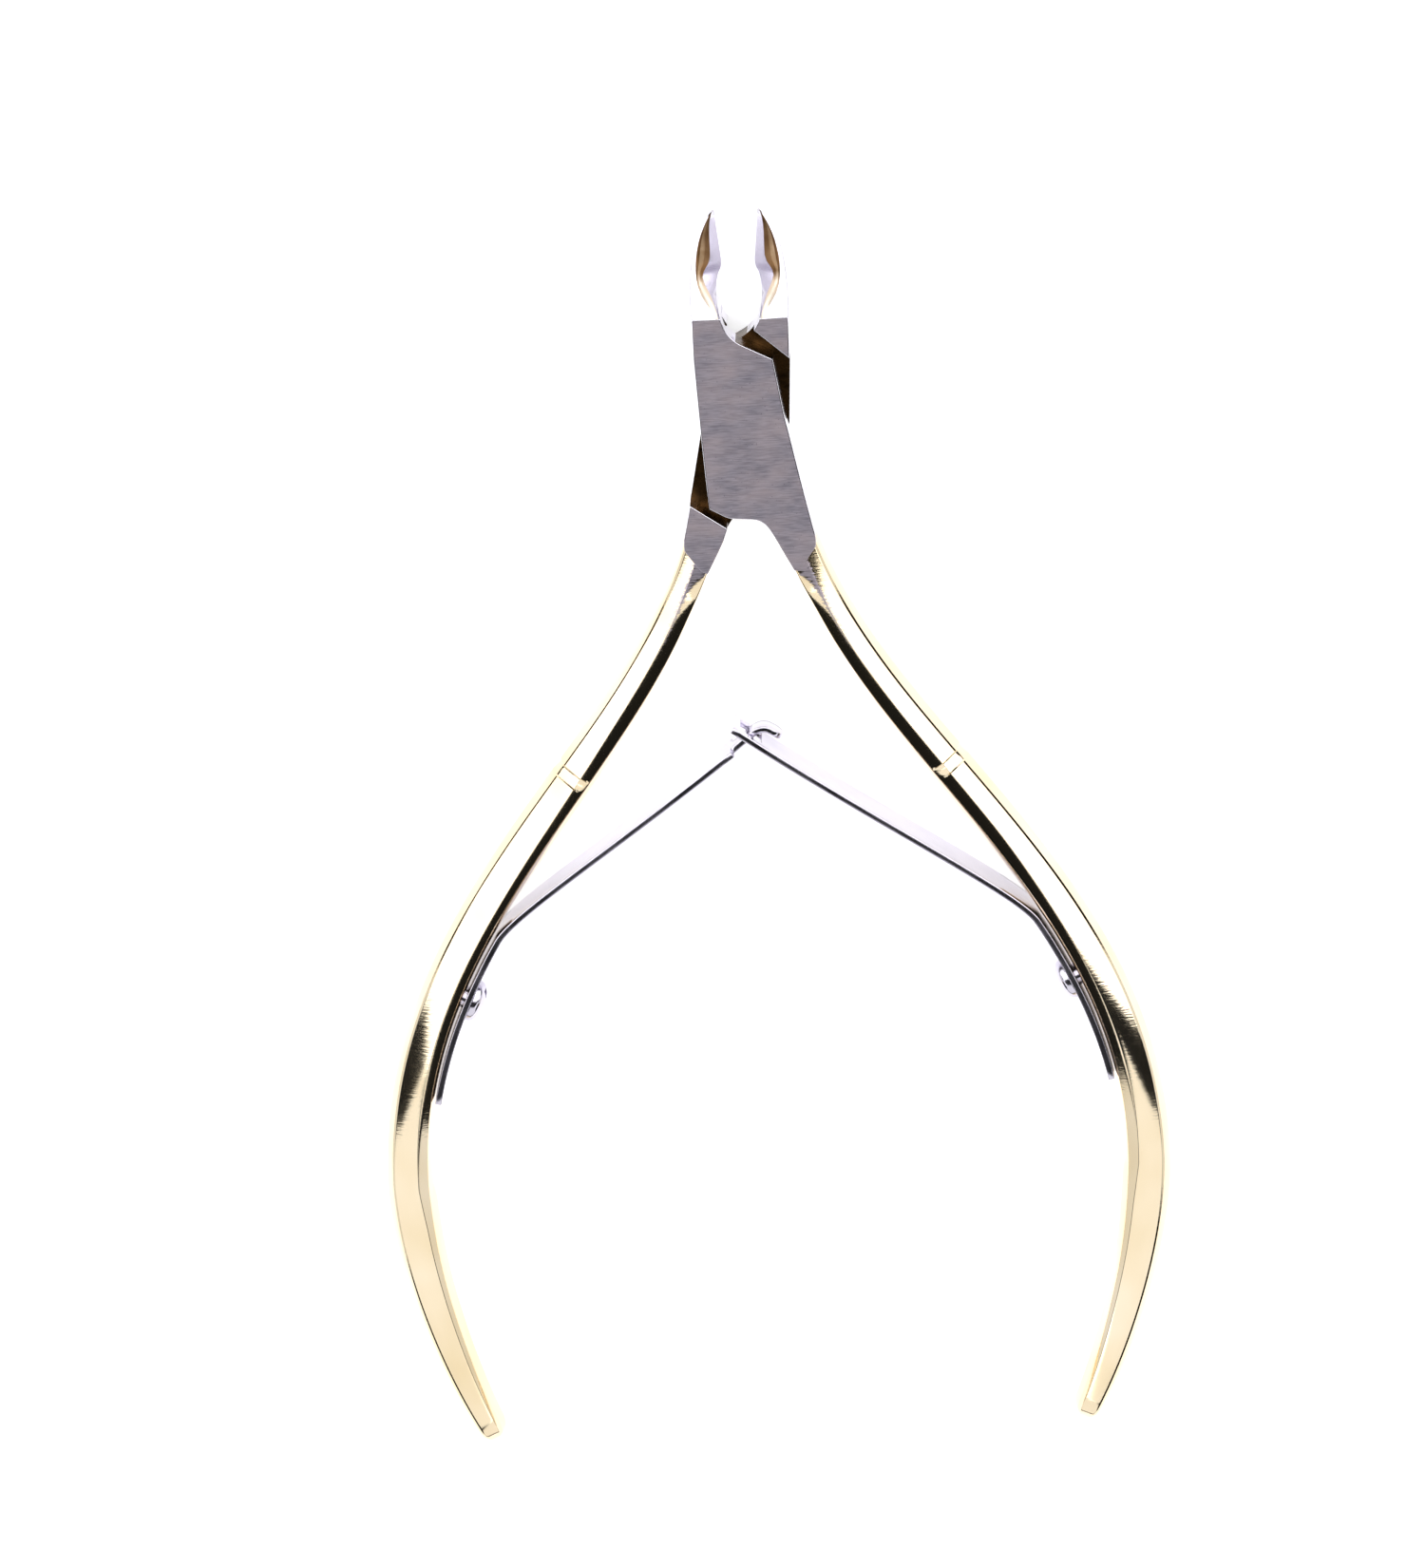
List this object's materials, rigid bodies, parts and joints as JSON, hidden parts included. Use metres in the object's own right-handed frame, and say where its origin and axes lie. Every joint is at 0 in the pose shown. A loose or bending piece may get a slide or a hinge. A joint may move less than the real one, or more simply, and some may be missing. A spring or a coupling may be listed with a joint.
{
  "type": "cuticle nipper",
  "caption": "Lap-jointed hand nipper with slim pointed jaws, bowed plated handles and a hooked pair of leaf springs that hold it open.",
  "frame": {"origin": "where the pivot axis meets the ground back face of the joint, with the tool lying flat and held open by its springs", "axes": "+Y towards the jaw tips, +Z from the back face to the front face along the pivot axis, +X to the right seen from the front"},
  "size_m": [0.0624, 0.0999, 0.0054],
  "materials": {
    "gold_plate": "pale gold electroplate on polished steel, with the joint ground back to bare satin steel",
    "satin_steel": "fine ground satin steel",
    "spring_steel": "bright polished spring steel"
  },
  "bodies": {
    "front": {"front_half": "gold_plate", "pivot_rivet": "satin_steel", "right_spring_foot": "spring_steel", "right_spring_screw": "spring_steel"},
    "rear": {"rear_half": "gold_plate", "left_spring_foot": "spring_steel", "left_spring_screw": "spring_steel"},
    "right_leaf": {"right_spring_blade": "spring_steel"},
    "left_leaf": {"left_spring_blade": "spring_steel"}
  },
  "joints": [
    {"name": "jaw_pivot", "type": "hinge", "parent": "front", "child": "rear", "pos_m": [0, 0, 0.0027], "axis": [0, 0, 1], "range_deg": [0, 11], "stiffness_Nm_per_rad": 0.8},
    {"name": "right_leaf_flex", "type": "hinge", "parent": "front", "child": "right_leaf", "pos_m": [0.01801, -0.03803, 0.0027], "axis": [0, 0, 1], "range_deg": [-9, 0.5]},
    {"name": "left_leaf_flex", "type": "hinge", "parent": "rear", "child": "left_leaf", "pos_m": [-0.01822, -0.03803, 0.0027], "axis": [0, 0, 1], "range_deg": [-0.5, 10]}
  ],
  "couplings": [
    {"joint": "right_leaf_flex", "follows": "jaw_pivot", "ratio": -0.741},
    {"joint": "left_leaf_flex", "follows": "jaw_pivot", "ratio": 0.873}
  ]
}
